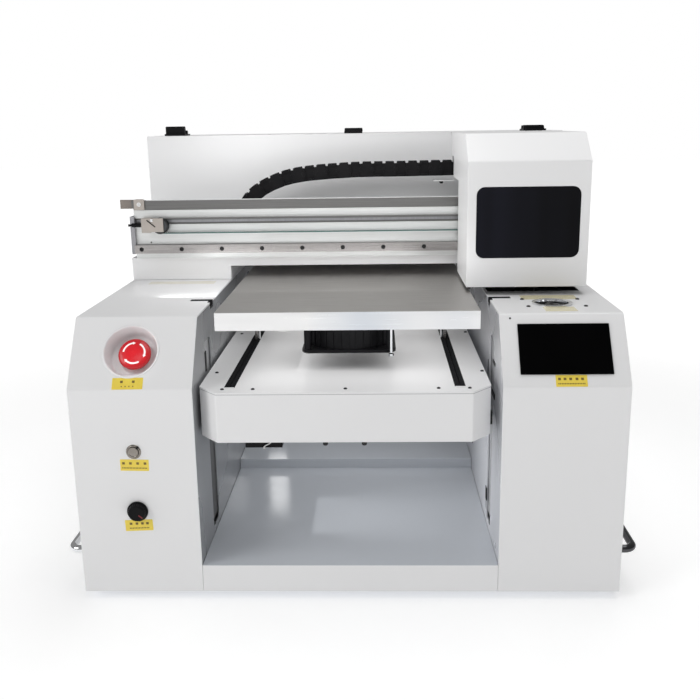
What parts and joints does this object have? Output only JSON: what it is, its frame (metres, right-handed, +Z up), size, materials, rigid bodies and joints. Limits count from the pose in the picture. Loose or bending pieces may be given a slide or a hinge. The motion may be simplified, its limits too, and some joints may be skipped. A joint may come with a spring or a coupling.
{
  "type": "flatbed uv printer",
  "caption": "Desktop flatbed UV printer: two sheet-metal towers, a lifting table with a sliding platen, and a beam with a hooded print carriage.",
  "frame": {"origin": "on the floor under the middle of the machine's box", "axes": "+X to the operator's right along the beam, +Y to the back, +Z up"},
  "size_m": [0.7196, 0.683, 0.578],
  "materials": {
    "white_coat": "satin powder coat",
    "pan_coat": "glossy coat",
    "platen_aluminium": "brushed and milled",
    "anodised": "fine anodised extrusion",
    "steel": "ground steel",
    "chrome": "polished",
    "black_plastic": "moulded",
    "black_metal": "black coat",
    "strip": "grey-brown strip",
    "belt": "toothed belt",
    "rubber": "matte",
    "dark_acrylic": "polished dark",
    "red_plastic": "gloss moulded",
    "tank_plastic": "translucent look"
  },
  "bodies": {
    "machine": {"base_pan": "pan_coat", "left_tower_cover": "white_coat", "right_tower_cover": "white_coat", "left_side_panel": "white_coat", "right_side_panel": "white_coat", "left_inner_wall": "white_coat", "right_inner_wall": "white_coat", "portal_frame": "white_coat", "rear_housing": "white_coat", "back_panel": "white_coat", "estop_cup": "white_coat", "beam": "anodised", "beam_end_plate": "anodised", "x_rail": "steel", "belt_tensioner": "steel", "encoder_strip": "strip", "x_belt": "belt", "x_motor": "black_metal", "chain_lower": "black_plastic", "drain_cup": "steel", "left_handle": "chrome", "right_handle": "chrome", "exhaust_fan": "black_plastic", "power_inlet": "black_plastic", "left_lid_hinge": "black_plastic", "centre_lid_hinge": "black_plastic", "right_lid_hinge": "black_plastic", "left_lift_motor": "black_metal", "right_lift_motor": "black_metal", "control_box": "black_metal", "front_left_foot": "rubber", "front_right_foot": "rubber", "rear_left_foot": "rubber", "rear_right_foot": "rubber", "touch_screen": "dark_acrylic", "tank_shelf": "white_coat", "ink_tanks": "tank_plastic"},
    "table": {"table_tray": "white_coat", "lift_frame": "black_metal", "left_y_rail": "steel", "right_y_rail": "steel"},
    "platen_carrier": {"platen": "platen_aluminium", "platen_saddle": "steel", "suction_fan": "black_plastic"},
    "suction_wheel": {"suction_impeller": "black_plastic"},
    "carriage": {"carriage_plate": "platen_aluminium", "hood": "white_coat", "hood_window": "dark_acrylic", "print_head": "black_plastic", "uv_lamp": "anodised"},
    "chain": {"chain_loop": "black_plastic"},
    "idler": {"idler_pulley": "steel"},
    "drive": {"x_motor_pulley": "steel"},
    "left_screw": {"left_lift_screw": "steel"},
    "right_screw": {"right_lift_screw": "steel"},
    "stop_button": {"estop_button": "red_plastic"},
    "start_button": {"power_button": "steel"},
    "knob": {"dimmer_knob": "black_plastic"},
    "lid": {"rear_lid": "white_coat"},
    "caps": {"cap_station": "rubber"}
  },
  "joints": [
    {"name": "table_lift", "type": "slide", "parent": "machine", "child": "table", "axis": [0, 0, 1], "range_m": [-0.11, 0]},
    {"name": "platen_slide", "type": "slide", "parent": "table", "child": "platen_carrier", "axis": [0, 1, 0], "range_m": [-0.245, 0.15]},
    {"name": "fan_spin", "type": "hinge", "parent": "platen_carrier", "child": "suction_wheel", "pos_m": [0, -0.18, 0.31], "axis": [0, 0, 1], "continuous": true},
    {"name": "carriage_slide", "type": "slide", "parent": "machine", "child": "carriage", "axis": [1, 0, 0], "range_m": [-0.31, 0]},
    {"name": "chain_slide", "type": "slide", "parent": "machine", "child": "chain", "axis": [1, 0, 0], "range_m": [-0.155, 0]},
    {"name": "idler_spin", "type": "hinge", "parent": "machine", "child": "idler", "pos_m": [-0.2835, -0.018, 0.4355], "axis": [0, 1, 0], "range_deg": [0, 1620]},
    {"name": "drive_spin", "type": "hinge", "parent": "machine", "child": "drive", "pos_m": [0.3, -0.018, 0.4355], "axis": [0, 1, 0], "range_deg": [0, 1620]},
    {"name": "left_screw_spin", "type": "hinge", "parent": "machine", "child": "left_screw", "pos_m": [-0.222, -0.22, 0.2], "axis": [0, 0, 1], "range_deg": [-4960, 0]},
    {"name": "right_screw_spin", "type": "hinge", "parent": "machine", "child": "right_screw", "pos_m": [0.222, -0.22, 0.2], "axis": [0, 0, 1], "range_deg": [-4960, 0]},
    {"name": "stop_press", "type": "slide", "parent": "machine", "child": "stop_button", "axis": [0, 0.8096, -0.587], "range_m": [0, 0.005], "stiffness_N_per_m": 900, "springref_m": -0.002},
    {"name": "start_press", "type": "slide", "parent": "machine", "child": "start_button", "axis": [0, 1, 0], "range_m": [0, 0.0025], "stiffness_N_per_m": 600, "springref_m": -0.002},
    {"name": "knob_turn", "type": "hinge", "parent": "machine", "child": "knob", "pos_m": [-0.2595, -0.335, 0.1195], "axis": [0, 1, 0], "range_deg": [-150, 150]},
    {"name": "lid_open", "type": "hinge", "parent": "machine", "child": "lid", "pos_m": [0, 0.165, 0.5675], "axis": [1, 0, 0], "range_deg": [0, 85]},
    {"name": "cap_lift", "type": "slide", "parent": "machine", "child": "caps", "axis": [0, 0, 1], "range_m": [-0.012, 0]}
  ],
  "couplings": [
    {"joint": "chain_slide", "follows": "carriage_slide", "ratio": 0.5},
    {"joint": "idler_spin", "follows": "carriage_slide", "rad_per_m": -90.909},
    {"joint": "drive_spin", "follows": "carriage_slide", "rad_per_m": -90.909},
    {"joint": "left_screw_spin", "follows": "table_lift", "rad_per_m": 785.4},
    {"joint": "right_screw_spin", "follows": "table_lift", "rad_per_m": 785.4}
  ]
}
